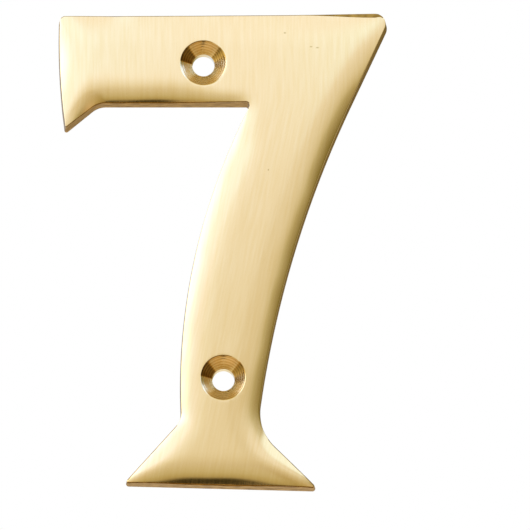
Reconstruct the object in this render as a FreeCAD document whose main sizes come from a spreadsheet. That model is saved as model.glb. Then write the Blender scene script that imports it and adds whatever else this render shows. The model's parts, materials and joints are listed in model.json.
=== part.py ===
# A cast brass door number: the figure 7, with rolled front edges and two countersunk screw holes.
# It stands upright as on a door: +Z is up, the front faces -Y and the flat back lies on the door at Y = 0.
# The origin is on the back, on the axis of the upper screw hole. Millimetres and degrees.

import FreeCAD, Part
import Sketcher
import math
import os

# Driving dimensions: name, value, and what it measures.
SIZES = [
    ("height", 76.2, "top of the bar's right end down to the lowest point of the foot"),
    ("bar_length", 52.6, "bar's top left corner to its top right one, across and before rounding"),
    ("bar_depth", 14.6, "top of the bar's right end down to its underside"),
    ("top_fall", 0.33, "how much lower the bar's top left corner is than the right one"),
    ("end_lean", 6.75, "how far the bar's right end slants in over its depth"),
    ("end_taper", 0.95, "how far the bar's left end slants in down to the flag's tip"),
    ("end_radius", 110.0, "slight bow of the bar's left end"),
    ("flag_drop", 4.35, "underside of the bar down to the flag's tip"),
    ("flag_run", 5.25, "flag's tip along to where the underside turns level"),
    ("notch_length", 30.0, "left end of the bar to the inner corner under it"),
    ("stem_radius", 99.0, "curve of the stem's left edge"),
    ("neck_inset", 19.2, "left end of the bar to the left neck, across"),
    ("neck_width", 12.0, "left neck to right neck, across"),
    ("left_neck_height", 11.0, "lowest point of the foot up to the left neck"),
    ("right_neck_height", 9.6, "lowest point of the foot up to the right neck"),
    ("left_toe_reach", 9.1, "left neck out to the left toe, across"),
    ("right_toe_reach", 9.7, "right neck out to the right toe, across"),
    ("sole_rise", 0.83, "how much higher the left toe is than the right one"),
    ("top_left_radius", 1.0, "rounding of the bar's top left corner"),
    ("top_right_radius", 1.2, "rounding of the bar's top right corner"),
    ("tip_radius", 0.35, "rounding of the flag's tip"),
    ("toe_radius", 0.45, "rounding of the two toes"),
    ("flag_bend_radius", 3.3, "hollow where the flag meets the underside"),
    ("notch_radius", 0.4, "hollow of the inner corner under the bar"),
    ("left_neck_radius", 3.2, "hollow of the left neck"),
    ("right_neck_radius", 8.0, "hollow of the right neck"),
    ("thickness", 3.5, "flat back to the front face"),
    ("draft", 4.0, "lean of the side walls, as a mould needs"),
    ("roll_width", 3.6, "outline in to where the front face is flat"),
    ("roll_drop", 1.1, "how far the front falls away at its edge"),
    ("rim_radius", 0.3, "rounding between the rolled front and the side wall"),
    ("hole_inset", 22.7, "left end of the bar to the upper screw hole, across"),
    ("hole_drop", 8.2, "top of the bar's right end down to the upper screw hole"),
    ("hole_shift", 3.16, "upper to lower screw hole, across"),
    ("hole_spacing", 50.5, "upper to lower screw hole, down"),
    ("hole_diameter", 3.5, "clearance hole for the screw"),
    ("countersink_diameter", 7.2, "countersink at the front face"),
    ("countersink_angle", 90.0, "countersink, side to side"),
]
SIZE = {name: value for name, value, _ in SIZES}

# The outline's corners, anticlockwise: each one's place across from the top left corner and down from
# the top right one, added up from the sizes named, and the size that rounds it. The bar's right end
# runs into the stem's curve with no corner.
CORNERS = [
    ("top_left", [], ["top_fall"], "top_left_radius"),
    ("tip", ["end_taper"], ["bar_depth", "flag_drop"], "tip_radius"),
    ("flag_bend", ["end_taper", "flag_run"], ["bar_depth"], "flag_bend_radius"),
    ("notch", ["notch_length"], ["bar_depth"], "notch_radius"),
    ("left_neck", ["neck_inset"], ["height", "-left_neck_height"], "left_neck_radius"),
    ("left_toe", ["neck_inset", "-left_toe_reach"], ["height", "-sole_rise"], "toe_radius"),
    ("right_toe", ["neck_inset", "neck_width", "right_toe_reach"], ["height"], "toe_radius"),
    ("right_neck", ["neck_inset", "neck_width"], ["height", "-right_neck_height"], "right_neck_radius"),
    ("curve_start", ["bar_length", "-end_lean"], ["bar_depth"], None),
    ("top_right", ["bar_length"], [], "top_right_radius"),
]

# Corners that an outward bow leaves from, the bar's left end and the stem's left edge, and its radius.
BOWS = [("top_left", "end_radius"), ("notch", "stem_radius")]

# Point numbers of a sketch line or arc, and the sketch's own origin.
START, END, CENTRE = 1, 2, 3
ORIGIN = (-1, 1)

# The way the front faces, how far a cutter stands clear of what it cuts, and a step that tells
# the inside of the outline from the outside.
FRONT = FreeCAD.Vector(0, -1, 0)
CLEAR = 0.6
STEP = 0.01


def total(terms):
    return sum(-SIZE[term[1:]] if term.startswith("-") else SIZE[term] for term in terms)


def formula(terms):
    return " ".join(f"- sizes.{term[1:]}" if term.startswith("-") else f"+ sizes.{term}" for term in terms)


def left_of(vector):
    """The vector turned a quarter turn anticlockwise in the sketch."""
    return FreeCAD.Vector(-vector.y, vector.x, 0)


def arc_about(centre, first, last):
    """The arc that runs anticlockwise about centre from first to last."""
    start = first - centre
    stop = last - centre
    circle = Part.Circle(centre, FreeCAD.Vector(0, 0, 1), start.Length)
    return Part.ArcOfCircle(circle, math.atan2(start.y, start.x), math.atan2(stop.y, stop.x))


class Stretch:
    """A piece of the outline: straight, or an arc about a centre that turns left (1) or right (-1)."""

    def __init__(self, start, end, centre=None, turn=0):
        self.start = start
        self.end = end
        self.centre = centre
        self.turn = turn
        self.index = None

    def heading(self, point):
        if self.centre is None:
            return (self.end - self.start).normalize()
        return (left_of(point - self.centre) * self.turn).normalize()

    def curve(self):
        if self.centre is None:
            return Part.LineSegment(self.start, self.end)
        if self.turn > 0:
            return arc_about(self.centre, self.start, self.end)
        return arc_about(self.centre, self.end, self.start)

    def first(self):
        return (self.index, END if self.turn < 0 else START)

    def last(self):
        return (self.index, START if self.turn < 0 else END)


def bowed(start, end, radius):
    """The arc from start to end that bows outwards with the given radius."""
    chord = end - start
    rise = math.sqrt(radius**2 - (chord.Length / 2) ** 2)
    centre = (start + end) * 0.5 + left_of(chord).normalize() * rise
    return Stretch(start, end, centre, 1)


def stem_right_arc(start, end, heading):
    """The arc from start that arrives at end with the given heading."""
    chord = start - end
    outward = left_of(heading) * -1
    radius = chord.Length**2 / (2 * chord.dot(outward))
    return Stretch(start, end, end + outward * radius, -1)


def rounding_arc(corner, radius, before, after):
    """The arc that rounds the corner between two stretches, which it shortens."""
    arriving = before.heading(corner)
    leaving = after.heading(corner)
    angle = math.atan2(arriving.cross(leaving).z, arriving.dot(leaving))
    reach = radius * math.tan(abs(angle) / 2)
    before.end = corner - arriving * reach
    after.start = corner + leaving * reach
    turn = 1 if angle > 0 else -1
    return Stretch(before.end, after.start, before.end + left_of(arriving) * (radius * turn), turn)


def make_sheet(doc):
    sheet = doc.addObject("Spreadsheet::Sheet", "sizes")
    for row, (name, value, meaning) in enumerate(SIZES, start=1):
        sheet.set(f"A{row}", meaning)
        sheet.set(f"B{row}", str(value))
        sheet.setAlias(f"B{row}", name)


def new_sketch(body, name):
    """A sketch on the body's upright plane: x across, y up, its normal towards the front."""
    plane = next(item for item in body.Origin.OriginFeatures if item.Role == "XZ_Plane")
    sketch = body.newObject("Sketcher::SketchObject", name)
    sketch.AttachmentSupport = (plane, [""])
    sketch.MapMode = "FlatFace"
    return sketch


def join(sketch, kind, first, second):
    sketch.addConstraint(Sketcher.Constraint(kind, *first, *second))


def bind(sketch, name, value, terms, kind, *places):
    """Adds a dimension that follows the sheet."""
    index = sketch.addConstraint(Sketcher.Constraint(kind, *places, value))
    sketch.renameConstraint(index, name)
    sketch.setExpression(f"Constraints.{name}", formula(terms))


def sharp_outline():
    """The corners' places before rounding, and the stretch that leaves and the one that arrives at each."""
    datum = FreeCAD.Vector(-SIZE["hole_inset"], SIZE["hole_drop"], 0)
    places = {}
    for name, across, down, _ in CORNERS:
        places[name] = datum + FreeCAD.Vector(total(across), -total(down), 0)
    names = list(places)
    following = dict(zip(names, names[1:] + names[:1]))
    leaving = {name: Stretch(places[name], places[following[name]]) for name in names}
    for name, radius in BOWS:
        leaving[name] = bowed(places[name], places[following[name]], SIZE[radius])
    heading = leaving["curve_start"].heading(places["curve_start"])
    leaving["right_neck"] = stem_right_arc(places["right_neck"], places["curve_start"], heading)
    arriving = {following[name]: leaving[name] for name in names}
    return places, leaving, arriving


def draw_outline(body):
    """The rounded outline. Its corners are kept as points, which carry the dimensions."""
    sketch = new_sketch(body, "outline")
    places, leaving, arriving = sharp_outline()
    rounding = {}
    for name, _, _, radius in CORNERS:
        if radius:
            rounding[name] = rounding_arc(places[name], SIZE[radius], arriving[name], leaving[name])
    for stretch in [*leaving.values(), *rounding.values()]:
        stretch.index = sketch.addGeometry(stretch.curve(), False)

    handles = {}
    for name, _, _, radius in CORNERS:
        before, after = arriving[name], leaving[name]
        if not radius:
            join(sketch, "Tangent", before.last(), after.first())
            handles[name] = after.first()
            continue
        arc = rounding[name]
        join(sketch, "Tangent", before.last(), arc.first())
        join(sketch, "Tangent", arc.last(), after.first())
        bind(sketch, f"{name}_rounding", SIZE[radius], [radius], "Radius", arc.index)
        handles[name] = (sketch.addGeometry(Part.Point(places[name]), True), START)
        join(sketch, "PointOnObject", handles[name], [before.index])
        join(sketch, "PointOnObject", handles[name], [after.index])

    left, top = handles["top_left"], handles["top_right"]
    bind(sketch, "left_datum", SIZE["hole_inset"], ["hole_inset"], "DistanceX", *left, *ORIGIN)
    bind(sketch, "top_datum", SIZE["hole_drop"], ["hole_drop"], "DistanceY", *ORIGIN, *top)
    for name, radius in BOWS:
        bind(sketch, f"{name}_bow", SIZE[radius], [radius], "Radius", leaving[name].index)
    for name, across, down, _ in CORNERS:
        if across:
            bind(sketch, f"{name}_across", total(across), across, "DistanceX", *left, *handles[name])
        if down:
            bind(sketch, f"{name}_down", total(down), down, "DistanceY", *handles[name], *top)
    return sketch


def cast_plate(body, outline):
    """The plate, with side walls that lean in towards the front."""
    plate = body.newObject("PartDesign::Pad", "plate")
    plate.Profile = outline
    plate.setExpression("Length", "sizes.thickness")
    plate.setExpression("TaperAngle", "-sizes.draft")
    return plate


def roll_height(inset):
    """Height of the rolled front above the back, at a distance in from the outline."""
    width, drop = SIZE["roll_width"], SIZE["roll_drop"]
    radius = (width**2 + drop**2) / (2 * drop)
    return SIZE["thickness"] - radius + math.sqrt(radius**2 - (width - inset) ** 2)


def roll_section(foot, inward, outer, inner):
    """The section cut away above the roll, between two distances in from the outline."""

    def at(inset, height):
        return foot + inward * inset + FRONT * height

    middle = (outer + inner) / 2
    above = SIZE["thickness"] + CLEAR
    low = at(outer, roll_height(outer))
    high = at(inner, roll_height(inner))
    arc = Part.Arc(low, at(middle, roll_height(middle)), high).toShape()
    rest = Part.makePolygon([high, at(inner, above), at(outer, above), low])
    return Part.Face(Part.Wire([arc, *rest.Edges]))


def roll_along(edge, face):
    """What the roll takes off along one edge of the outline: extruded, or revolved about an arc's centre."""
    start = edge.valueAt(edge.FirstParameter)
    inward = edge.tangentAt(edge.FirstParameter).cross(FRONT)
    if not face.isInside(start + inward * STEP, STEP / 10, False):
        inward = inward * -1
    width = SIZE["roll_width"]
    if isinstance(edge.Curve, Part.Line):
        run = edge.valueAt(edge.LastParameter) - start
        return roll_section(start, inward, -CLEAR, width).extrude(run)
    centre, radius = edge.Curve.Center, edge.Curve.Radius
    angle = math.degrees(edge.LastParameter - edge.FirstParameter)
    if (centre - start).dot(inward) < 0:
        section = roll_section(start, inward, -min(CLEAR, radius / 2), width)
    else:
        section = roll_section(start, inward, -CLEAR, min(radius, width))
    return section.revolve(centre, edge.Curve.Axis, angle)


def roll_front(doc, body, outline):
    """Rolls the front off towards the outline, by its distance in from the nearest edge.

    At a rounded corner the roll is wider than the corner's radius, so one sweep round the whole
    outline would cross itself: the cutter is put together edge by edge.
    """
    face = Part.Face(outline.Shape.Wires[0])
    first, *others = [roll_along(edge, face) for edge in face.OuterWire.Edges]
    cutter = doc.addObject("Part::Feature", "roll_cutter")
    cutter.Shape = first.multiFuse(others).Solids[0]
    tool = doc.addObject("PartDesign::Body", "roll_tool")
    tool.BaseFeature = cutter
    doc.recompute()
    roll = body.newObject("PartDesign::Boolean", "rolled_front")
    roll.Type = "Cut"
    roll.addObject(tool)
    return roll


def rim_edges(shape):
    """Names of the edges where a side wall, which reaches the back, meets the rolled front."""
    names = []
    for number, edge in enumerate(shape.Edges, start=1):
        depths = [side.BoundBox.YMax for side in shape.ancestorsOfType(edge, Part.Face)]
        if min(depths) < -STEP < max(depths):
            names.append(f"Edge{number}")
    return names


def round_rim(body, front):
    rim = body.newObject("PartDesign::Fillet", "rim")
    rim.Base = (front, rim_edges(front.Shape))
    rim.setExpression("Radius", "sizes.rim_radius")
    return rim


def drill_holes(doc, body):
    """Two countersunk screw holes, from the front."""
    sketch = new_sketch(body, "hole_places")
    sketch.setExpression("AttachmentOffset.Base.z", "sizes.thickness")
    normal = FreeCAD.Vector(0, 0, 1)
    upper_place = FreeCAD.Vector(0, 0, 0)
    lower_place = FreeCAD.Vector(SIZE["hole_shift"], -SIZE["hole_spacing"], 0)
    for name, place in (("upper", upper_place), ("lower", lower_place)):
        circle = sketch.addGeometry(Part.Circle(place, normal, SIZE["hole_diameter"] / 2), False)
        bind(sketch, f"{name}_size", SIZE["hole_diameter"], ["hole_diameter"], "Diameter", circle)
    upper, lower = (0, CENTRE), (1, CENTRE)
    join(sketch, "Coincident", upper, ORIGIN)
    bind(sketch, "lower_across", SIZE["hole_shift"], ["hole_shift"], "DistanceX", *upper, *lower)
    bind(sketch, "lower_down", SIZE["hole_spacing"], ["hole_spacing"], "DistanceY", *lower, *upper)
    holes = body.newObject("PartDesign::Hole", "screw_holes")
    holes.Profile = sketch
    doc.recompute()
    holes.DepthType = "ThroughAll"
    holes.HoleCutType = "Countersink"
    holes.setExpression("Diameter", "sizes.hole_diameter")
    holes.setExpression("HoleCutDiameter", "sizes.countersink_diameter")
    holes.setExpression("HoleCutCountersinkAngle", "sizes.countersink_angle")
    return holes


def check(doc, body, features):
    """Stops the build if anything failed, or if a cut took nothing away."""
    for item in doc.Objects:
        if {"Invalid", "Error"} & set(item.State):
            raise RuntimeError(f"{item.Label} failed: {item.State}")
    if body.Shape.isNull() or not body.Shape.isValid() or len(body.Shape.Solids) != 1:
        raise RuntimeError(f"{body.Label} isn't one valid solid")
    volumes = [feature.Shape.Volume for feature in features]
    for feature, before, after in zip(features[1:], volumes, volumes[1:]):
        if after >= before:
            raise RuntimeError(f"{feature.Label} cut nothing")


def main():
    doc = FreeCAD.newDocument("door_number")
    make_sheet(doc)
    body = doc.addObject("PartDesign::Body", "numeral")
    body.Label = "numeral_seven"
    outline = draw_outline(body)
    plate = cast_plate(body, outline)
    doc.recompute()
    front = roll_front(doc, body, outline)
    doc.recompute()
    rim = round_rim(body, front)
    doc.recompute()
    holes = drill_holes(doc, body)
    body.Placement = FreeCAD.Placement()
    doc.recompute()
    check(doc, body, [plate, front, rim, holes])
    os.makedirs("parts", exist_ok=True)
    body.Shape.exportStep(f"parts/{body.Label}.step")
    print(f"{body.Label}: {body.Shape.Volume:.0f} cubic mm")


main()
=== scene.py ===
# The looks of a cast brass door number: the figure 7, finely brushed, with a rolled front and turned
# countersinks. Metres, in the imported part's frame: +Z is up, the front faces -Y and the flat back lies
# at Y = 0.

import json
import math

import bmesh
import bpy
import numpy as np
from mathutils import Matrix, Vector
from mathutils.geometry import delaunay_2d_cdt


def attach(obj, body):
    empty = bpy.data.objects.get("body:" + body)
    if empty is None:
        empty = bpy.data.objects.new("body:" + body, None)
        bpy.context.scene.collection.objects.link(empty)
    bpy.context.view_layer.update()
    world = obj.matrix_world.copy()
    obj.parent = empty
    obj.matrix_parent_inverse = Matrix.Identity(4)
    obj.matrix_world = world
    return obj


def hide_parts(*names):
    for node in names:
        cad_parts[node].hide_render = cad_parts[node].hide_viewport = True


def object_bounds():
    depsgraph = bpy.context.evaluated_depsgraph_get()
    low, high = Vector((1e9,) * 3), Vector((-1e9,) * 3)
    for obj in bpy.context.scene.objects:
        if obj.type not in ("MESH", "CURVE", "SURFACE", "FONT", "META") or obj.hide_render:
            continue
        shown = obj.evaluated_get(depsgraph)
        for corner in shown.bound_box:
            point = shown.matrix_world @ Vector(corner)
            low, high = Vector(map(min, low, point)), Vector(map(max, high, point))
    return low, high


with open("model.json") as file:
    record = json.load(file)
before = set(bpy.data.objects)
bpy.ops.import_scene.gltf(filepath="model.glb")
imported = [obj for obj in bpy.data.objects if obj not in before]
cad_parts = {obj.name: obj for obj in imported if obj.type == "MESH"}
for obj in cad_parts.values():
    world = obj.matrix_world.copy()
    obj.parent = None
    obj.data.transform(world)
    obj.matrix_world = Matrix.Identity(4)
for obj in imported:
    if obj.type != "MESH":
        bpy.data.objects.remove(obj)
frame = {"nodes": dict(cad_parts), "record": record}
cad_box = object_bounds()

MM = 0.001
NODE = "numeral_seven"

# The front: how far in from the outline it rolls off, how far it falls there and by what power, and how
# much polishing has softened its mitres. Its height map carries on past the outline for so many widths.
THICKNESS = -cad_box[0].y
ROLL_WIDTH = 5.2 * MM
ROLL_DROP = 1.02 * MM
ROLL_POWER = 3
ROLL_SOFT = 0.9 * MM
PAST_EDGE = 1

# Where the roll differs: it is less at the inner corner, the bar's two top corners, the flag's tip and
# the foot's left neck, steeper along the bar's underside and below the bar on the right, and wider at
# the foot's right neck. The place, how far across and up the change reaches from it, and the shares of
# the roll's fall and of its width there.
ROLL_CHANGES = [
    ((7.3 * MM, -5.4 * MM), (13.0 * MM, 9.0 * MM), 0.1, 0.2),
    ((29.3 * MM, 8.6 * MM), (17.0 * MM, 21.0 * MM), 0.0, 0.8),
    ((-22.4 * MM, 8.3 * MM), (9.0 * MM, 9.0 * MM), 0.5, 1.0),
    ((-22.4 * MM, -10.5 * MM), (6.0 * MM, 12.0 * MM), 0.0, 0.9),
    ((-3.7 * MM, -57.3 * MM), (7.0 * MM, 7.0 * MM), 0.85, 0.85),
    ((-8.0 * MM, -6.4 * MM), (22.0 * MM, 7.0 * MM), 1.15, 0.72),
    ((19.5 * MM, -13.0 * MM), (8.0 * MM, 10.0 * MM), 1.14, 1.0),
    ((9.0 * MM, -56.5 * MM), (8.0 * MM, 8.0 * MM), 1.1, 1.2),
]

# The foot's front falls away further over this far from the sole, most about this place across. The
# sole's ends are the outermost points that lie no higher than this above the outline's lowest.
SOLE_WIDTH = 2.4 * MM
SOLE_DROP = 0.34 * MM
SOLE_POWER = 2
SOLE_ENDS = 1.6 * MM
SOLE_MIDDLE = 1.9 * MM
SOLE_REACH = 9.0 * MM

# The side: its lean and the rounded rim under the roll, which is polished where it faces left or right
# by more than this share.
DRAFT = math.radians(4)
RIM_REACH = 0.12 * MM
RIM_POLISHED = 0.82

# The rim is worn wider along the top, between these two places across; the power keeps the wear to
# edges that face up. A file has also left the rim uneven, in waves of these lengths.
RIM_WORN = 0.6 * MM
RIM_WORN_FROM = 15.0 * MM
RIM_WORN_TO = 27.0 * MM
RIM_WORN_POWER = 4
RIM_WAVE = 0.05 * MM
RIM_WAVE_FADE = 1.6 * MM
RIM_WAVES = [23 * MM, 11 * MM, 6.1 * MM]
RIM_WAVE_SHIFT = 1.3

# The bar's top right corner is worn round: the rounding's centre and radius, and between which two
# directions from its centre it lies, in degrees anticlockwise from the right.
CORNER_CENTRE = (26.92 * MM, 6.281 * MM)
CORNER_RADIUS = 1.9 * MM
CORNER_FROM = -24.8
CORNER_TO = 90.4

# The countersinks: size at the front face, and what the tool has left: a soft edge, turning marks and
# a slight chatter in lobes.
SINK_RADIUS = 3.6 * MM
SINK_EDGE = 0.06 * MM
TURNING_MARK = 0.004 * MM
TURNING_PITCH = 0.33 * MM
CHATTER = 0.07 * MM
CHATTER_LOBES = 3
CHATTER_TURN = math.radians(120)

# Painted reflection in a countersink's colour: how it goes round, by degrees anticlockwise from its
# right, from 0 for a painted highlight to 1 for painted shade, how much that differs on the turning
# marks as painted glints, and how painted shade goes round the edge.
PAINTED_SINK_REFLECTION = [
    (-145, 0.0),
    (-125, 0.5),
    (-62, 0.55),
    (-42, 0.35),
    (5, 0.3),
    (15, 0.5),
    (26, 0.66),
    (42, 0.70),
    (47, 0.3),
    (128, 0.3),
    (136, 0.95),
    (173, 1.0),
    (177, 0.0),
]
PAINTED_GLINTS_ON_MARKS = 0.12
PAINTED_SHADE_AT_EDGE = [(55, 0.0), (75, 0.7), (130, 0.9), (165, 0.9), (175, 0.0)]

# Mesh steps: along the outline, between points of the front, and in the front's height map, which goes
# out to a margin and measures from every third point of the outline.
OUTLINE_STEP = 0.24 * MM
FRONT_STEP = 0.36 * MM
MAP_STEP = 0.2 * MM
MAP_MARGIN = 3 * MM
MAP_SKIP = 3

# Rows of points follow the outline until they are as far in as the last of the insets; the later rows
# are thinned. A row's point is left out where another edge is nearer than this share of its inset.
ROW_INSETS = [inset * MM for inset in (0.42, 0.6, 0.8, 1.05, 1.3, 1.6, 1.9, 2.25, 2.6)]
ROWS_IN_FULL = 4
ROW_THINNING = 2
ROW_CLEAR = 0.985

# How far the even field of points keeps from the rows and from the holes, as shares of its step.
FIELD_FROM_ROWS = 0.7
FIELD_FROM_HOLES = 0.5

# Mesh counts: bands up the wall, steps round the rim and round a countersink's edge, rings down a
# countersink and down its hole, points round a hole, and rounds to find where it meets the front.
WALL_BANDS = 7
RIM_STEPS = 7
EDGE_STEPS = 5
SINK_RINGS = 48
HOLE_RINGS = 5
SINK_SEGMENTS = 128
MEETING_ROUNDS = 4

# Faces that meet at more than this are shaded apart. Points nearer to the back than this lie on it.
SHARP = math.radians(38)
ON_BACK = 0.001 * MM

# The camera: how far below the number it looks from, how far away it stands, and where in the
# picture (in pixels) the upper hole's axis meets the back.
PICTURE = 530
LOOK_UP = math.radians(12.4)
DISTANCE = 3.0
PIXELS_PER_MM = 6.365
ORIGIN_PIXEL = (203.45, 67.85)
SENSOR = 36.0
NEAREST = 0.01
FARTHEST = 50

# Colours, linear.
BRASS = (0.93, 0.775, 0.49)
BRASS_PALE = (0.94, 0.789, 0.511)
BRASS_DEEP = (0.90, 0.731, 0.429)
# The countersinks' colours by their painted reflection value: a painted highlight at 0, brass, then
# painted shade at 1.
PAINTED_SINK_TONES = [
    (0.0, (1.0, 0.97, 0.86)),
    (0.3, BRASS),
    (0.55, (0.66, 0.44, 0.13)),
    (1.0, (0.18, 0.10, 0.025)),
]
CAST_SKIN = (0.44, 0.27, 0.065)
CAST_SKIN_DARK = (0.20, 0.11, 0.022)

# Small pits in the front: their colour and its share in the middle, how far out the middle goes, how far
# back they reach, and where each lies, across and up, and how far it reaches each way.
PIT = (0.50, 0.38, 0.16)
PIT_SHARE = 0.75
PIT_MIDDLE = 0.2
PIT_BACK = 2 * MM
PITS = [
    ((12.8 * MM, 4.85 * MM), (0.28 * MM, 0.20 * MM)),
    ((16.9 * MM, 2.6 * MM), (0.30 * MM, 0.16 * MM)),
    ((17.9 * MM, 2.45 * MM), (0.36 * MM, 0.16 * MM)),
    ((10.2 * MM, -17.2 * MM), (0.16 * MM, 0.24 * MM)),
]

# The brushing leans with the stem, by this much across for each step down, below this height. Its flat
# coordinates take this length as one, and start from this in the middle.
BRUSH_LEAN = 0.2
BRUSH_LEAN_TOP = -6 * MM
BRUSH_SPAN = 100 * MM
BRUSH_MIDDLE = 0.5

# The finishes. Streaks: how far apart, how long, and their detail. Grain: size, detail and, where it is
# drawn in from front to back, to which share. Rough: from least to most. Bump: depth and strength.
BRUSH_BROAD = (0.45 * MM, 7 * MM, 3)
BRUSH_FINE = (0.14 * MM, 4 * MM, 2)
BRUSH_ROUGH = (0.10, 0.18)
BRUSH_BUMP = (0.002 * MM, 0.3)
WALL_SKIN = (1.6 * MM, 4, 0.25)
WALL_ROUGH = (0.28, 0.42)
WALL_GRAIN = (0.35 * MM, 3)
WALL_BUMP = (0.02 * MM, 0.5)
SINK_GRAIN = (0.9 * MM, 2)
SINK_ROUGH = (0.18, 0.26)
BACK_SKIN = (3.5 * MM, 4)
BACK_PATCHES = (0.1, 0.4)
BACK_ROUGH = (0.32, 0.48)
BACK_GRAIN = (0.3 * MM, 3)
BACK_BUMP = (0.01 * MM, 0.4)

# The part of its range that most of a noise lies in.
NOISE_LOW = 0.3
NOISE_HIGH = 0.7

# Materials' places in the mesh.
FRONT, WALL, SINK, BACK = range(4)


def loop_length(loop):
    return np.linalg.norm(np.roll(loop, -1, 0) - loop, axis=1).sum()


def back_outline(node):
    """The outline of the node's flat back, anticlockwise seen from the front."""
    mesh = node.data
    edges = set()
    for polygon in mesh.polygons:
        corners = [mesh.vertices[index].co for index in polygon.vertices]
        if all(abs(corner.y) < ON_BACK for corner in corners):
            keys = [(round(corner.x, 7), round(corner.z, 7)) for corner in corners]
            edges.update(zip(keys, keys[1:] + keys[:1]))
    follows = {start: end for start, end in edges if (end, start) not in edges}
    loops = []
    while follows:
        start, point = follows.popitem()
        loop = [start]
        while point != start:
            loop.append(point)
            point = follows.pop(point)
        loops.append(np.array(loop)[::-1])
    outline = max(loops, key=loop_length)
    first = np.lexsort(outline.T)[0]
    return np.roll(outline, -first, 0)


def refined(loop, step):
    """The loop with more points on it, each stretch bent as the arc that it stands for."""
    straight = 3
    run = np.roll(loop, -1, 0) - loop
    length = np.linalg.norm(run, axis=1)
    heading = run / length[:, None]
    last_heading = np.roll(heading, 1, 0)
    last_length = np.roll(length, 1)
    tangent = last_heading * length[:, None] + heading * last_length[:, None]
    tangent = np.where((last_length > straight * length)[:, None], last_heading, tangent)
    tangent = np.where((length > straight * last_length)[:, None], heading, tangent)
    tangent /= np.linalg.norm(tangent, axis=1)[:, None]
    points = []
    for index in range(len(loop)):
        after = (index + 1) % len(loop)
        count = math.ceil(length[index] / step)
        t = np.arange(count)[:, None] / count
        leave = tangent[index] * length[index]
        arrive = tangent[after] * length[index]
        points.append(
            (2 * t**3 - 3 * t**2 + 1) * loop[index]
            + (t**3 - 2 * t**2 + t) * leave
            + (3 * t**2 - 2 * t**3) * loop[after]
            + (t**3 - t**2) * arrive
        )
    return np.concatenate(points)


def with_worn_corner(outline):
    """The outline with the bar's top right corner drawn in to its worn rounding."""
    offset = outline - CORNER_CENTRE
    reach = np.linalg.norm(offset, axis=1)
    angle = np.degrees(np.arctan2(offset[:, 1], offset[:, 0]))
    on_corner = (angle > CORNER_FROM) & (angle < CORNER_TO)
    drawn_in = CORNER_CENTRE + offset * (CORNER_RADIUS / reach)[:, None]
    return np.where(on_corner[:, None], drawn_in, outline)


def inward(loop):
    """The way in from each point of the loop."""
    run = np.roll(loop, -1, 0) - np.roll(loop, 1, 0)
    run /= np.linalg.norm(run, axis=1)[:, None]
    return np.stack([-run[:, 1], run[:, 0]], 1)


def nearest_on(loop, points):
    """How far each point lies from the loop's line, and the number of the stretch it is nearest to."""
    batch = 400
    run = np.roll(loop, -1, 0) - loop
    square = (run**2).sum(1)
    distances, stretches = [], []
    for some in np.array_split(points, len(points) // batch + 1):
        offset = some[:, None] - loop[None]
        share = np.clip((offset * run).sum(2) / square, 0, 1)
        gap = ((offset - share[..., None] * run) ** 2).sum(2)
        distances.append(np.sqrt(gap.min(1)))
        stretches.append(gap.argmin(1))
    return np.concatenate(distances), np.concatenate(stretches)


def inside(points, loop):
    x, z = points[:, 0], points[:, 1]
    hits = np.zeros(len(points), int)
    for (x0, z0), (x1, z1) in zip(loop, np.roll(loop, -1, 0)):
        if z0 != z1:
            crosses = (z0 > z) != (z1 > z)
            hits += crosses & (x < x0 + (z - z0) * (x1 - x0) / (z1 - z0))
    return hits % 2 == 1


def eased(value, start, end):
    """Rises smoothly from 0 at start to 1 at end."""
    t = np.clip((value - start) / (end - start), 0, 1)
    return t * t * (3 - 2 * t)


def wave(count, length):
    """A small unevenness along the outline, about -1 to 1, that closes on itself."""
    place = np.arange(count) / count * 2 * math.pi
    waves = [round(length / size) for size in RIM_WAVES]
    return sum(np.sin(turns * place + RIM_WAVE_SHIFT * turns) for turns in waves) / 2


def blurred(grid, reach):
    """The grid, evened out over so many steps."""
    tail = math.ceil(3 * reach)
    steps = np.arange(-tail, tail + 1)
    kernel = np.exp(-((steps / reach) ** 2) / 2)
    kernel /= kernel.sum()
    padded = np.pad(grid, tail, mode="edge")
    rows = np.apply_along_axis(np.convolve, 0, padded, kernel, mode="valid")
    return np.apply_along_axis(np.convolve, 1, rows, kernel, mode="valid")


def sole_fall(outline, points):
    """How much further the front falls towards the sole, which runs from toe to toe."""
    foot = outline[outline[:, 1] < outline[:, 1].min() + SOLE_ENDS]
    left, right = foot[foot[:, 0].argmin()], foot[foot[:, 0].argmax()]
    sole = left[1] + (points[:, 0] - left[0]) * (right[1] - left[1]) / (right[0] - left[0])
    near = np.clip(1 - (points[:, 1] - sole) / SOLE_WIDTH, 0, 1 + PAST_EDGE) ** SOLE_POWER
    across = np.clip(1 - ((points[:, 0] - SOLE_MIDDLE) / SOLE_REACH) ** 2, 0, 1)
    return SOLE_DROP * near * across


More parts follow.
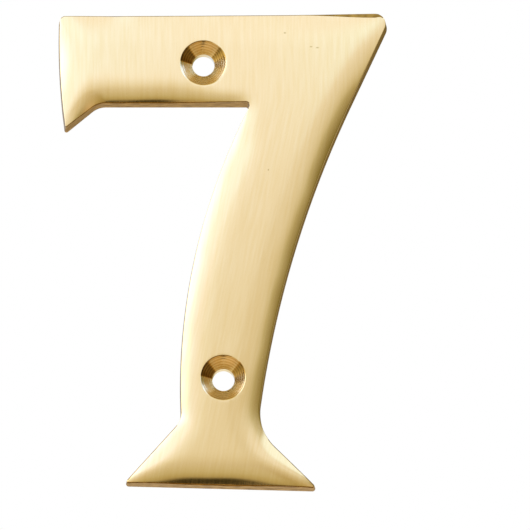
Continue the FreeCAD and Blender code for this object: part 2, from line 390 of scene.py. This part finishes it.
class Front:
    """The rolled front, as a smooth map of its height above the back."""

    def __init__(self, outline):
        self.low = outline.min(0) - MAP_MARGIN
        size = np.ceil((outline.max(0) + MAP_MARGIN - self.low) / MAP_STEP).astype(int)
        across, up = np.meshgrid(*(np.arange(count) for count in size), indexing="ij")
        points = self.low + np.stack([across.ravel(), up.ravel()], 1) * MAP_STEP
        coarse = outline[::MAP_SKIP]
        distance, stretch = nearest_on(coarse, points)
        inset = np.where(inside(points, outline), distance, -distance)
        width = np.full(len(points), ROLL_WIDTH)
        drop = np.full(len(points), ROLL_DROP)
        for place, reach, drop_share, width_share in ROLL_CHANGES:
            away = eased(np.linalg.norm((points - place) / np.array(reach), axis=1), 0, 1)
            drop *= drop_share + (1 - drop_share) * away
            width *= width_share + (1 - width_share) * away
        fall = drop * np.clip(1 - inset / width, 0, 1 + PAST_EDGE) ** ROLL_POWER
        fall += sole_fall(outline, points)
        uneven = wave(len(coarse), loop_length(coarse))[stretch]
        fall += RIM_WAVE * uneven * (1 - eased(inset, 0, RIM_WAVE_FADE))
        self.map = THICKNESS - blurred(fall.reshape(size), ROLL_SOFT / MAP_STEP)

    def height(self, points):
        """Height at points given across and up, on a spline through the map."""
        place = (points - self.low) / MAP_STEP
        cell = np.floor(place).astype(int)
        t = place - cell
        weights = np.stack([
            -(t**3) + 2 * t**2 - t,
            3 * t**3 - 5 * t**2 + 2,
            -3 * t**3 + 4 * t**2 + t,
            t**3 - t**2,
        ]) / 2
        total = np.zeros(len(points))
        for i in range(4):
            for j in range(4):
                known = self.map[cell[:, 0] + i - 1, cell[:, 1] + j - 1]
                total += weights[i, :, 0] * weights[j, :, 1] * known
        return np.minimum(total, THICKNESS)


class Surface:
    """Points and faces put together into one mesh."""

    def __init__(self):
        self.points = []
        self.painted_reflection = []
        self.faces = []
        self.materials = []

    def add_points(self, plane, height, painted_reflection=0):
        """Adds points given across and up, at a height above the back; returns their numbers."""
        start = len(self.points)
        height = np.broadcast_to(height, len(plane))
        self.points.extend(zip(plane[:, 0], -height, plane[:, 1]))
        self.painted_reflection.extend(np.broadcast_to(painted_reflection, len(plane)))
        return np.arange(start, len(self.points))

    def add_faces(self, faces, material):
        self.faces.extend([list(map(int, face)) for face in faces])
        self.materials.extend(np.broadcast_to(material, len(faces)).tolist())

    def add_band(self, ring, following, material):
        """A band of faces from one closed ring of points to the next, further in or further forward."""
        quads = zip(ring, np.roll(ring, -1), np.roll(following, -1), following)
        self.add_faces(list(quads), material)

    def add_sheet(self, rings, filling, material, front):
        """Fills the first ring, less the others, with triangles.

        Each ring, and the points that fill it, are given as places and numbers.
        """
        apart = 1e-7
        places = np.concatenate([ring[0] for ring in rings] + [filling[0]]) / MM
        numbers = np.concatenate([ring[1] for ring in rings] + [filling[1]])
        places = places.astype(np.float32).astype(float)
        ends = np.cumsum([len(plane) for plane, _ in rings])
        loops = np.split(np.arange(ends[-1]), ends[:-1])
        edges = [pair for loop in loops for pair in zip(loop.tolist(), np.roll(loop, -1).tolist())]
        made = delaunay_2d_cdt([Vector(place) for place in places.tolist()], edges, [], 0, apart)
        source = np.array([ids[0] for ids in made[3]])
        triangles = source[np.array(made[2])]
        middle = places[triangles].mean(1)
        kept = inside(middle, places[loops[0]])
        for loop in loops[1:]:
            kept &= ~inside(middle, places[loop])
        triangles = numbers[triangles[kept]]
        self.add_faces(triangles if front else triangles[:, ::-1], material)

    def make(self, name):
        mesh = bpy.data.meshes.new(name)
        mesh.from_pydata(self.points, [], self.faces)
        mesh.polygons.foreach_set("material_index", self.materials)
        # Each point's painted reflection value, which the countersinks' colour reads.
        mesh.attributes.new("painted_reflection", "FLOAT", "POINT").data.foreach_set("value", self.painted_reflection)
        mesh.shade_smooth()
        mesh.set_sharp_from_angle(angle=SHARP)
        made = bpy.data.objects.new(name, mesh)
        bpy.context.scene.collection.objects.link(made)
        return made


def bend(start, corner, end, count):
    """Places along a rounded corner, from start to end, as weights put on three values."""
    for t in np.linspace(0, 1, count):
        yield (1 - t) ** 2 * start + 2 * t * (1 - t) * corner + t**2 * end


def add_side(surface, outline, front):
    """The side wall and the rim above it. Returns the back's ring and the front's."""
    way_in = inward(outline)
    lean = math.tan(DRAFT)

    def moved_in(inset):
        return outline + way_in * np.broadcast_to(inset, len(outline))[:, None]

    def ring(inset, height):
        plane = moved_in(inset)
        return plane, surface.add_points(plane, height)

    on_top = np.clip(-way_in[:, 1], 0, 1) ** RIM_WORN_POWER
    worn = RIM_WORN * on_top * eased(outline[:, 0], RIM_WORN_FROM, RIM_WORN_TO)
    corner_inset = (THICKNESS - ROLL_DROP) * lean
    roll_inset = corner_inset + RIM_REACH + worn
    corner = front.height(moved_in(corner_inset))
    roll = front.height(moved_in(roll_inset))
    wall_top = corner - RIM_REACH
    shares = np.linspace(0, 1, WALL_BANDS + 1)
    rings = [ring(share * wall_top * lean, share * wall_top) for share in shares]
    insets = bend(wall_top * lean, corner_inset, roll_inset, RIM_STEPS)
    heights = bend(wall_top, corner, roll, RIM_STEPS)
    rings += [ring(inset, height) for inset, height in list(zip(insets, heights))[1:]]
    polished = np.where(abs(way_in[:, 0]) > RIM_POLISHED, FRONT, WALL)
    for index, (first, second) in enumerate(zip(rings, rings[1:])):
        surface.add_band(first[1], second[1], WALL if index < WALL_BANDS else polished)
    return rings[0], rings[-1]


def add_hole(surface, centre, radius, front):
    """The countersink and the hole below it. Returns the back's ring and the front's."""
    angle = np.arange(SINK_SEGMENTS) / SINK_SEGMENTS * 2 * math.pi
    spoke = np.stack([np.cos(angle), np.sin(angle)], 1)

    def at(reach):
        return centre + spoke * np.broadcast_to(reach, len(angle))[:, None]

    def cone(reach):
        return THICKNESS - SINK_RADIUS + reach

    edge = np.full(len(angle), SINK_RADIUS)
    for _ in range(MEETING_ROUNDS):
        edge = SINK_RADIUS - THICKNESS + front.height(at(edge))
    outer, inner = edge + SINK_EDGE, edge - SINK_EDGE
    reaches = list(bend(outer, edge, inner, EDGE_STEPS))
    heights = list(bend(front.height(at(outer)), cone(edge), cone(inner), EDGE_STEPS))
    degrees = (np.degrees(angle) + 180) % 360 - 180
    # Painted reflection, ring by ring: painted highlight and painted shade in sectors round the
    # countersink, and painted glints on its turning marks.
    painted_tone = np.interp(degrees, *zip(*PAINTED_SINK_REFLECTION))
    painted_tones = [np.maximum(painted_tone, np.interp(degrees, *zip(*PAINTED_SHADE_AT_EDGE)))] * len(reaches)
    lobes = CHATTER * np.cos(CHATTER_LOBES * angle + CHATTER_TURN)
    for share in np.arange(1, SINK_RINGS) / SINK_RINGS:
        reach = inner + (radius - inner) * share
        mark = np.sin(2 * math.pi * reach / TURNING_PITCH)
        swell = 4 * share * (1 - share)
        reaches.append(reach)
        heights.append(cone(reach) + TURNING_MARK * mark + lobes * swell)
        painted_tones.append(np.clip(painted_tone + PAINTED_GLINTS_ON_MARKS * mark, 0, 1))
    for height in np.linspace(cone(radius), 0, HOLE_RINGS):
        reaches.append(radius)
        heights.append(height)
        painted_tones.append(0)
    planes = [at(reach) for reach in reaches]
    rings = [(plane, surface.add_points(plane, *rest)) for plane, *rest in zip(planes, heights, painted_tones)]
    for first, second in zip(rings, rings[1:]):
        surface.add_band(first[1], second[1], SINK)
    return rings[-1], rings[0]


def front_points(ring, outline, holes):
    """Places over the front: rows that follow the outline, and an even field inside them."""
    way_in = inward(outline)
    rows = []
    for index, inset in enumerate(ROW_INSETS):
        thinning = 1 if index < ROWS_IN_FULL else ROW_THINNING
        row = (outline + way_in * inset)[::thinning]
        rows.append(row[nearest_on(outline, row)[0] > inset * ROW_CLEAR])
    low, high = outline.min(0), outline.max(0)
    field = []
    for index, z in enumerate(np.arange(low[1], high[1], FRONT_STEP * math.sqrt(3) / 2)):
        x = np.arange(low[0] + FRONT_STEP / 2 * (index % 2), high[0], FRONT_STEP)
        field.append(np.stack([x, np.full(len(x), z)], 1))
    field = np.concatenate(field)
    field = field[inside(field, outline)]
    rows_end = ROW_INSETS[-1] + FRONT_STEP * FIELD_FROM_ROWS
    field = field[nearest_on(outline, field)[0] > rows_end]
    points = np.concatenate([*rows, field])
    points = points[inside(points, ring)]
    clear = SINK_RADIUS + SINK_EDGE + FRONT_STEP * FIELD_FROM_HOLES
    for centre, _ in holes:
        points = points[np.linalg.norm(points - centre, axis=1) > clear]
    return points


def build_number():
    """The whole number as one closed mesh, on the part's own outline and screw holes."""
    outline = with_worn_corner(refined(back_outline(frame["nodes"][NODE]), OUTLINE_STEP))
    bores = [mount for mount in frame["record"]["mounts"] if mount["kind"] == "bore"]
    holes = [(np.array(bore["pos_m"])[[0, 2]], bore["dims"]["r_mm"] * MM) for bore in bores]
    front = Front(outline)
    surface = Surface()
    rings = [add_side(surface, outline, front)]
    rings += [add_hole(surface, centre, radius, front) for centre, radius in holes]
    back_rings, front_rings = zip(*rings)
    places = front_points(front_rings[0][0], outline, holes)
    filling = places, surface.add_points(places, front.height(places))
    surface.add_sheet(front_rings, filling, FRONT, True)
    surface.add_sheet(back_rings, (np.zeros((0, 2)), np.zeros(0, int)), BACK, False)
    return surface.make("numeral_seven_finish")


def map_brushing(mesh):
    """Flat coordinates that lean with the stem below the bar, for the brushing to follow."""
    corners = np.array([mesh.vertices[loop.vertex_index].co for loop in mesh.loops])
    shift = BRUSH_LEAN * np.minimum(corners[:, 2] - BRUSH_LEAN_TOP, 0)
    flat = np.stack([corners[:, 0] - shift, corners[:, 2]], 1) / BRUSH_SPAN + BRUSH_MIDDLE
    mesh.uv_layers.new(name="brush").data.foreach_set("uv", flat.ravel())


def node_tree(material):
    material.use_nodes = True
    return material.node_tree.nodes, material.node_tree.links


def new_metal(name):
    material = bpy.data.materials.new(name)
    nodes, links = node_tree(material)
    shader = nodes["Principled BSDF"]
    shader.inputs["Metallic"].default_value = 1
    return material, nodes, links, shader


def streaks(nodes, links, across, along, detail):
    """Noise drawn out along the brushing: streaks so far apart across, and so long."""
    place = nodes.new("ShaderNodeUVMap")
    place.uv_map = "brush"
    scale = nodes.new("ShaderNodeVectorMath")
    scale.operation = "MULTIPLY"
    scale.inputs[1].default_value = (BRUSH_SPAN / across, BRUSH_SPAN / along, 1)
    links.new(place.outputs["UV"], scale.inputs[0])
    noise = nodes.new("ShaderNodeTexNoise")
    noise.inputs["Scale"].default_value = 1
    noise.inputs["Detail"].default_value = detail
    links.new(scale.outputs["Vector"], noise.inputs["Vector"])
    return noise.outputs["Fac"]


def spot(nodes, links, place, size):
    """Dark at a place on the front, given across and up, and clear at the size's distance from it."""
    where = nodes.new("ShaderNodeTexCoord")
    offset = nodes.new("ShaderNodeVectorMath")
    offset.operation = "SUBTRACT"
    offset.inputs[1].default_value = (place[0], -THICKNESS, place[1])
    links.new(where.outputs["Object"], offset.inputs[0])
    shrink = nodes.new("ShaderNodeVectorMath")
    shrink.operation = "DIVIDE"
    shrink.inputs[1].default_value = (size[0], PIT_BACK, size[1])
    links.new(offset.outputs["Vector"], shrink.inputs[0])
    length = nodes.new("ShaderNodeVectorMath")
    length.operation = "LENGTH"
    links.new(shrink.outputs["Vector"], length.inputs[0])
    return ranged(nodes, links, length.outputs["Value"], PIT_SHARE, 0, PIT_MIDDLE, 1)


def grain(nodes, links, size, detail, depth=1):
    """Noise of this size, drawn in from front to back to a share of it."""
    place = nodes.new("ShaderNodeTexCoord")
    scale = nodes.new("ShaderNodeVectorMath")
    scale.operation = "DIVIDE"
    scale.inputs[1].default_value = (size, size * depth, size)
    links.new(place.outputs["Object"], scale.inputs[0])
    noise = nodes.new("ShaderNodeTexNoise")
    noise.inputs["Scale"].default_value = 1
    noise.inputs["Detail"].default_value = detail
    links.new(scale.outputs["Vector"], noise.inputs["Vector"])
    return noise.outputs["Fac"]


def ranged(nodes, links, value, low, high, start=NOISE_LOW, end=NOISE_HIGH):
    """The value, taken from the range start to end, spread over low to high."""
    node = nodes.new("ShaderNodeMapRange")
    node.inputs["From Min"].default_value = start
    node.inputs["From Max"].default_value = end
    node.inputs["To Min"].default_value = low
    node.inputs["To Max"].default_value = high
    links.new(value, node.inputs["Value"])
    return node.outputs["Result"]


def mixed(nodes, links, value, first, second, blend="MIX"):
    """Two colours mixed by a value; each of the three is fixed or comes from a node."""
    node = nodes.new("ShaderNodeMix")
    node.data_type = "RGBA"
    node.blend_type = blend
    for name, given in (("Factor", value), ("A", first), ("B", second)):
        socket = next(item for item in node.inputs if item.name == name and item.enabled)
        if isinstance(given, bpy.types.NodeSocket):
            links.new(given, socket)
        else:
            socket.default_value = (*given, 1) if isinstance(given, tuple) else given
    return next(item for item in node.outputs if item.enabled)


def ramp(nodes, links, value, stops):
    """A colour ramp over values from -1 to 1. A stop is a colour, or a number for a grey."""
    node = nodes.new("ShaderNodeValToRGB")
    elements = node.color_ramp.elements
    while len(elements) > 1:
        elements.remove(elements[-1])
    for index, (place, colour) in enumerate(stops):
        element = elements.new((place + 1) / 2) if index else elements[0]
        element.position = (place + 1) / 2
        element.color = (*np.broadcast_to(colour, 3), 1)
    links.new(ranged(nodes, links, value, 0, 1, -1, 1), node.inputs["Fac"])
    return node.outputs["Color"]


def bumped(nodes, links, shader, value, depth, strength):
    bump = nodes.new("ShaderNodeBump")
    bump.inputs["Distance"].default_value = depth
    bump.inputs["Strength"].default_value = strength
    links.new(value, bump.inputs["Height"])
    links.new(bump.outputs["Normal"], shader.inputs["Normal"])


def brushed_brass():
    material, nodes, links, shader = new_metal("brass_brushed")
    broad = ranged(nodes, links, streaks(nodes, links, *BRUSH_BROAD), 0, 1)
    fine = streaks(nodes, links, *BRUSH_FINE)
    colour = mixed(nodes, links, broad, BRASS_PALE, BRASS_DEEP)
    for place, size in PITS:
        colour = mixed(nodes, links, spot(nodes, links, place, size), colour, PIT)
    links.new(colour, shader.inputs["Base Color"])
    links.new(ranged(nodes, links, fine, *BRUSH_ROUGH), shader.inputs["Roughness"])
    bumped(nodes, links, shader, fine, *BRUSH_BUMP)
    return material


def cast_wall():
    material, nodes, links, shader = new_metal("brass_cast_wall")
    skin = grain(nodes, links, *WALL_SKIN)
    patches = ranged(nodes, links, skin, 0, 1)
    links.new(mixed(nodes, links, patches, CAST_SKIN, CAST_SKIN_DARK), shader.inputs["Base Color"])
    links.new(ranged(nodes, links, skin, *WALL_ROUGH), shader.inputs["Roughness"])
    bumped(nodes, links, shader, grain(nodes, links, *WALL_GRAIN), *WALL_BUMP)
    return material


def turned_brass():
    material, nodes, links, shader = new_metal("brass_turned")
    tone = grain(nodes, links, *SINK_GRAIN)
    # Colour from each point's painted reflection value: painted highlight and painted shade in the
    # countersinks.
    painted_reflection = nodes.new("ShaderNodeAttribute")
    painted_reflection.attribute_name = "painted_reflection"
    links.new(ramp(nodes, links, painted_reflection.outputs["Fac"], PAINTED_SINK_TONES), shader.inputs["Base Color"])
    links.new(ranged(nodes, links, tone, *SINK_ROUGH), shader.inputs["Roughness"])
    return material


def flat_back():
    material, nodes, links, shader = new_metal("brass_back")
    skin = grain(nodes, links, *BACK_SKIN)
    patches = ranged(nodes, links, skin, *BACK_PATCHES)
    links.new(mixed(nodes, links, patches, BRASS_DEEP, CAST_SKIN), shader.inputs["Base Color"])
    links.new(ranged(nodes, links, skin, *BACK_ROUGH), shader.inputs["Roughness"])
    bumped(nodes, links, shader, grain(nodes, links, *BACK_GRAIN), *BACK_BUMP)
    return material


# The studio: a round light tent close about the number, which only the metal's reflections see, a pale
# floor below the camera, a plain soft light, and a large soft lamp for the shadow on the floor.
CENTRE = (cad_box[0] + cad_box[1]) / 2
TENT_RADIUS = 0.28
TENT_SEGMENTS = 64
FLOOR_DROP = 0.8
FLOOR_SIZE = 8
FLOOR_COLOUR = (0.82, 0.82, 0.82, 1)
FLOOR_ROUGH = 0.9
WHITE = (1, 1, 1, 1)
SOFT_LIGHT = (0.7, 0.7, 0.7, 1)
LAMP_SIZE = 0.8
LAMP_POWER = 6
LAMP_PLACE = CENTRE + Vector((-0.5, -0.5, 1.0))

# The tent's colour by height in degrees: pale above and warm below.
TENT_RISE = [
    (-79, (0.95, 0.66, 0.32)),
    (-75, (0.72, 0.48, 0.21)),
    (-60, (0.62, 0.43, 0.19)),
    (-50, (0.44, 0.34, 0.15)),
    (-41, (0.54, 0.44, 0.21)),
    (-31, (0.62, 0.53, 0.31)),
    (-24, (0.65, 0.56, 0.35)),
    (-16, (0.69, 0.60, 0.40)),
    (-8, (0.72, 0.63, 0.45)),
    (0, (0.79, 0.71, 0.53)),
    (6, (0.875, 0.81, 0.67)),
    (11, (0.92, 0.88, 0.79)),
    (16, (1.03, 1.00, 0.98)),
    (24, (1.06, 1.03, 1.03)),
]

# How that colour changes from the left, at -1, to the right, at 1, in the middle, high up and low down.
TENT_ACROSS = [
    (-1.0, 2.4),
    (-0.77, 2.2),
    (-0.62, (1.22, 1.42, 1.74)),
    (-0.48, (1.15, 1.23, 1.46)),
    (-0.34, (1.13, 1.16, 1.31)),
    (-0.23, (1.09, 1.11, 1.19)),
    (-0.14, (1.06, 1.09, 1.14)),
    (-0.05, (1.02, 1.03, 1.05)),
    (0.0, 1.0),
    (0.06, (0.90, 0.87, 0.80)),
    (0.20, (0.91, 0.88, 0.81)),
    (0.34, (0.90, 0.88, 0.82)),
    (0.50, (0.82, 0.80, 0.70)),
    (0.61, (0.63, 0.60, 0.42)),
    (0.70, (0.54, 0.50, 0.34)),
    (0.79, (0.42, 0.38, 0.21)),
    (0.86, (0.32, 0.28, 0.115)),
    (1.0, (0.17, 0.14, 0.04)),
]
TENT_ACROSS_HIGH = [
    (-1.0, 2.4),
    (-0.77, 2.2),
    (-0.62, (1.30, 1.42, 1.85)),
    (-0.48, (1.10, 1.24, 1.38)),
    (-0.10, (1.04, 1.20, 1.36)),
    (-0.07, (1.02, 1.12, 1.27)),
    (-0.05, (1.01, 1.05, 1.09)),
    (0.02, 1.0),
    (0.055, (1.01, 1.08, 1.13)),
    (0.085, (1.03, 1.18, 1.30)),
]
TENT_ACROSS_LOW = [
    (-0.86, 0.25),
    (-0.80, (0.95, 0.75, 0.55)),
    (-0.58, (1.25, 1.08, 1.02)),
    (-0.40, (1.10, 1.05, 1.02)),
    (-0.12, 1.0),
    (0.01, 1.0),
    (0.09, (0.78, 0.71, 0.53)),
    (0.35, (0.90, 0.83, 0.70)),
    (0.58, (1.0, 0.87, 0.80)),
    (0.76, (0.95, 0.75, 0.55)),
    (0.82, 0.3),
]

# A dark patch low in front of the number: where it lies by height and across, and its colour.
PATCH_RISE = [(-73, 0), (-71, 1), (-55, 1), (-47.5, 0)]
PATCH_ACROSS = [(-0.14, 0), (-0.09, 1), (0.06, 1), (0.12, 0)]
PATCH = (0.03, 0.023, 0.007)

# Behind the number: pale to the left, shaded to the right and, by height, warm below.
BEHIND_LEFT = (0.72, 0.76, 0.82)
BEHIND_RIGHT = (0.34, 0.27, 0.10)
BEHIND_BELOW = [
    (-0.85, (0.20, 0.14, 0.06)),
    (-0.60, (1.20, 1.05, 0.80)),
    (-0.48, (1.20, 1.05, 0.80)),
    (-0.25, (0.78, 0.65, 0.42)),
]

# Between which places the tent goes over to the colours high up, which start later to the right, to
# those low down, and to those behind; and there, from left to right and to those below.
HIGH = (0.26, 0.33)
HIGH_LATER = 0.17
HIGH_LATER_ACROSS = (0.15, 0.35)
LOW = (-0.1, -0.4)
BEHIND = (0.05, 0.3)
BEHIND_ACROSS = (-0.08, 0.06)
BEHIND_LOW = (0.05, -0.1)


def by_height(stops):
    """The stops, moved from a height in degrees to a share of the tent's radius."""
    return [(math.sin(math.radians(height)), colour) for height, colour in stops]


def tent_material():
    material = bpy.data.materials.new("tent")
    nodes, links = node_tree(material)
    nodes.clear()
    place = nodes.new("ShaderNodeTexCoord")
    unit = nodes.new("ShaderNodeVectorMath")
    unit.operation = "NORMALIZE"
    links.new(place.outputs["Object"], unit.inputs[0])
    parts = nodes.new("ShaderNodeSeparateXYZ")
    links.new(unit.outputs["Vector"], parts.inputs[0])
    x, y, z = (parts.outputs[axis] for axis in "XYZ")
    lowered = nodes.new("ShaderNodeMath")
    lowered.operation = "SUBTRACT"
    links.new(z, lowered.inputs[0])
    links.new(ranged(nodes, links, x, 0, HIGH_LATER, *HIGH_LATER_ACROSS), lowered.inputs[1])
    high = ranged(nodes, links, lowered.outputs["Value"], 0, 1, *HIGH)
    low = ranged(nodes, links, z, 0, 1, *LOW)
    across = ramp(nodes, links, x, TENT_ACROSS)
    across = mixed(nodes, links, high, across, ramp(nodes, links, x, TENT_ACROSS_HIGH))
    across = mixed(nodes, links, low, across, ramp(nodes, links, x, TENT_ACROSS_LOW))
    rise = ramp(nodes, links, z, by_height(TENT_RISE))
    front = mixed(nodes, links, 1.0, rise, across, "MULTIPLY")
    patch = ramp(nodes, links, z, by_height(PATCH_RISE))
    patch = mixed(nodes, links, 1.0, patch, ramp(nodes, links, x, PATCH_ACROSS), "MULTIPLY")
    front = mixed(nodes, links, patch, front, PATCH)
    to_right = ranged(nodes, links, x, 0, 1, *BEHIND_ACROSS)
    back = mixed(nodes, links, to_right, BEHIND_LEFT, BEHIND_RIGHT)
    downward = ranged(nodes, links, z, 0, 1, *BEHIND_LOW)
    back = mixed(nodes, links, downward, back, ramp(nodes, links, z, BEHIND_BELOW))
    behind = ranged(nodes, links, y, 0, 1, *BEHIND)
    glow = nodes.new("ShaderNodeEmission")
    links.new(mixed(nodes, links, behind, front, back), glow.inputs["Color"])
    out = nodes.new("ShaderNodeOutputMaterial")
    links.new(glow.outputs["Emission"], out.inputs["Surface"])
    material.cycles.emission_sampling = "NONE"
    return material


def make_tent():
    shape = bpy.data.meshes.new("tent")
    build = bmesh.new()
    rings = TENT_SEGMENTS // 2
    bmesh.ops.create_uvsphere(build, u_segments=TENT_SEGMENTS, v_segments=rings, radius=TENT_RADIUS)
    build.to_mesh(shape)
    build.free()
    shape.shade_smooth()
    shape.materials.append(tent_material())
    tent = bpy.data.objects.new("tent", shape)
    tent.location = CENTRE
    tent.visible_camera = False
    tent.visible_diffuse = False
    tent.visible_shadow = False
    bpy.context.scene.collection.objects.link(tent)


def make_floor():
    bpy.ops.mesh.primitive_plane_add(size=FLOOR_SIZE, location=(0, 0, CENTRE.z - FLOOR_DROP))
    floor = bpy.context.object
    floor.name = "floor"
    material = bpy.data.materials.new("floor")
    nodes, _ = node_tree(material)
    shader = nodes["Principled BSDF"]
    shader.inputs["Base Color"].default_value = FLOOR_COLOUR
    shader.inputs["Roughness"].default_value = FLOOR_ROUGH
    floor.data.materials.append(material)


def make_world():
    """White behind the number, also in its reflections, and a plain soft light on the floor."""
    world = bpy.data.worlds.new("studio")
    bpy.context.scene.world = world
    world.use_nodes = True
    nodes, links = world.node_tree.nodes, world.node_tree.links
    nodes.clear()
    path = nodes.new("ShaderNodeLightPath")
    seen = path.outputs["Is Camera Ray"]
    for name in ("Is Glossy Ray", "Is Transmission Ray"):
        either = nodes.new("ShaderNodeMath")
        either.operation = "MAXIMUM"
        links.new(seen, either.inputs[0])
        links.new(path.outputs[name], either.inputs[1])
        seen = either.outputs["Value"]
    light = nodes.new("ShaderNodeBackground")
    light.inputs["Color"].default_value = SOFT_LIGHT
    white = nodes.new("ShaderNodeBackground")
    white.inputs["Color"].default_value = WHITE
    choose = nodes.new("ShaderNodeMixShader")
    links.new(seen, choose.inputs["Fac"])
    links.new(light.outputs["Background"], choose.inputs[1])
    links.new(white.outputs["Background"], choose.inputs[2])
    out = nodes.new("ShaderNodeOutputWorld")
    links.new(choose.outputs["Shader"], out.inputs["Surface"])


def make_lamp():
    """A large soft lamp above and to the left, for the shadow on the floor."""
    lamp = bpy.data.lights.new("key", "AREA")
    lamp.size = LAMP_SIZE
    lamp.energy = LAMP_POWER
    placed = bpy.data.objects.new("key", lamp)
    placed.location = LAMP_PLACE
    placed.rotation_mode = "QUATERNION"
    placed.rotation_quaternion = (CENTRE - LAMP_PLACE).to_track_quat("-Z", "Y")
    placed.visible_camera = False
    placed.visible_glossy = False
    bpy.context.scene.collection.objects.link(placed)


def make_camera():
    """A long lens from the front and below, set so that the number lies as in the picture."""
    focal = PIXELS_PER_MM / MM * DISTANCE
    data = bpy.data.cameras.new("camera")
    data.sensor_width = SENSOR
    data.lens = focal * SENSOR / PICTURE
    data.clip_start = NEAREST
    data.clip_end = FARTHEST
    camera = bpy.data.objects.new("camera", data)
    towards = Vector((0, math.cos(LOOK_UP), math.sin(LOOK_UP)))
    right = Vector((1, 0, 0))
    up = right.cross(towards)
    across = (PICTURE / 2 - ORIGIN_PIXEL[0]) / focal * DISTANCE
    raised = (ORIGIN_PIXEL[1] - PICTURE / 2) / focal * DISTANCE
    camera.location = right * across + up * raised - towards * DISTANCE
    camera.rotation_mode = "QUATERNION"
    camera.rotation_quaternion = towards.to_track_quat("-Z", "Y")
    bpy.context.scene.collection.objects.link(camera)
    bpy.context.scene.camera = camera


number = build_number()
map_brushing(number.data)
for material in (brushed_brass(), cast_wall(), turned_brass(), flat_back()):
    number.data.materials.append(material)
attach(number, "root")
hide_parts(NODE)

make_tent()
make_floor()
make_world()
make_lamp()
make_camera()
bpy.context.scene.view_settings.view_transform = "Standard"
